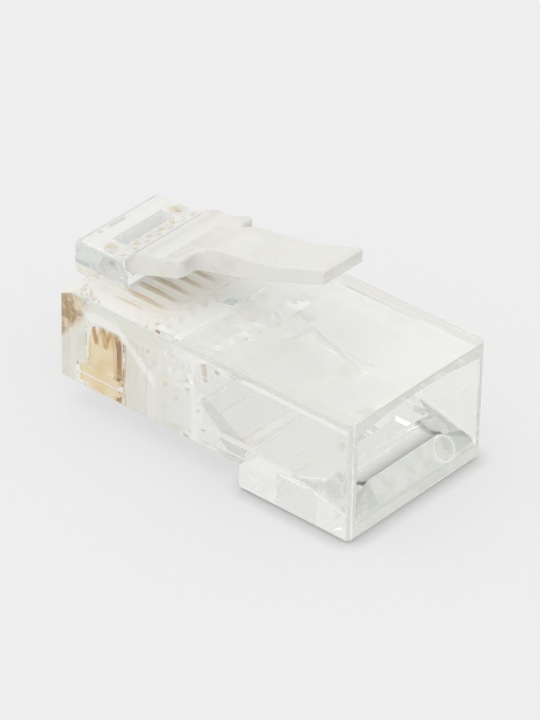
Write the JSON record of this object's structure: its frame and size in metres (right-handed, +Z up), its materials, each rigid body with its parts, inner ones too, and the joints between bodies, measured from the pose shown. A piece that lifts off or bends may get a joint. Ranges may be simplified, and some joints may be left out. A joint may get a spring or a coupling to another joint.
{
  "type": "modular plug",
  "caption": "Clear modular plug for twisted-pair cable, with a raised latch lever, gilt contact blades in ribbed slots, a hinged strain relief bar and a flared cable entry.",
  "frame": {"origin": "under the middle of the plug's overall box, at the level of the rear half's underside", "axes": "+X along the plug from the nose to the cable entry, +Z up from the contact side to the latch, +Y across; seen from the cable entry with the latch up, +Y is on the right"},
  "size_m": [0.0228, 0.0116, 0.0134],
  "materials": {
    "clear_plastic": "clear, polished polycarbonate",
    "frosted_plastic": "clear polycarbonate with a finely frosted top",
    "gilt_metal": "gold plated, bright"
  },
  "bodies": {
    "housing": {"housing": "clear_plastic"},
    "latch": {"latch_lever": "frosted_plastic"},
    "strain_relief": {"strain_relief_bar": "clear_plastic"},
    "blade_1": {"contact_1": "gilt_metal"},
    "blade_2": {"contact_2": "gilt_metal"},
    "blade_3": {"contact_3": "gilt_metal"},
    "blade_4": {"contact_4": "gilt_metal"},
    "blade_5": {"contact_5": "gilt_metal"},
    "blade_6": {"contact_6": "gilt_metal"},
    "blade_7": {"contact_7": "gilt_metal"},
    "blade_8": {"contact_8": "gilt_metal"}
  },
  "joints": [
    {"name": "latch_press", "type": "hinge", "parent": "housing", "child": "latch", "pos_m": [-0.00719, 0, 0.00895], "axis": [0, 1, 0], "range_deg": [0, 18], "stiffness_Nm_per_rad": 0.05},
    {"name": "strain_relief_press", "type": "hinge", "parent": "housing", "child": "strain_relief", "pos_m": [-0.0001, 0, 0.0038], "axis": [0, -1, 0], "range_deg": [0, 30]},
    {"name": "crimp_1", "type": "slide", "parent": "housing", "child": "blade_1", "axis": [0, 0, 1], "range_m": [0, 0.00095]},
    {"name": "crimp_2", "type": "slide", "parent": "housing", "child": "blade_2", "axis": [0, 0, 1], "range_m": [0, 0.00095]},
    {"name": "crimp_3", "type": "slide", "parent": "housing", "child": "blade_3", "axis": [0, 0, 1], "range_m": [0, 0.00095]},
    {"name": "crimp_4", "type": "slide", "parent": "housing", "child": "blade_4", "axis": [0, 0, 1], "range_m": [0, 0.00095]},
    {"name": "crimp_5", "type": "slide", "parent": "housing", "child": "blade_5", "axis": [0, 0, 1], "range_m": [0, 0.00095]},
    {"name": "crimp_6", "type": "slide", "parent": "housing", "child": "blade_6", "axis": [0, 0, 1], "range_m": [0, 0.00095]},
    {"name": "crimp_7", "type": "slide", "parent": "housing", "child": "blade_7", "axis": [0, 0, 1], "range_m": [0, 0.00095]},
    {"name": "crimp_8", "type": "slide", "parent": "housing", "child": "blade_8", "axis": [0, 0, 1], "range_m": [0, 0.00095]}
  ]
}
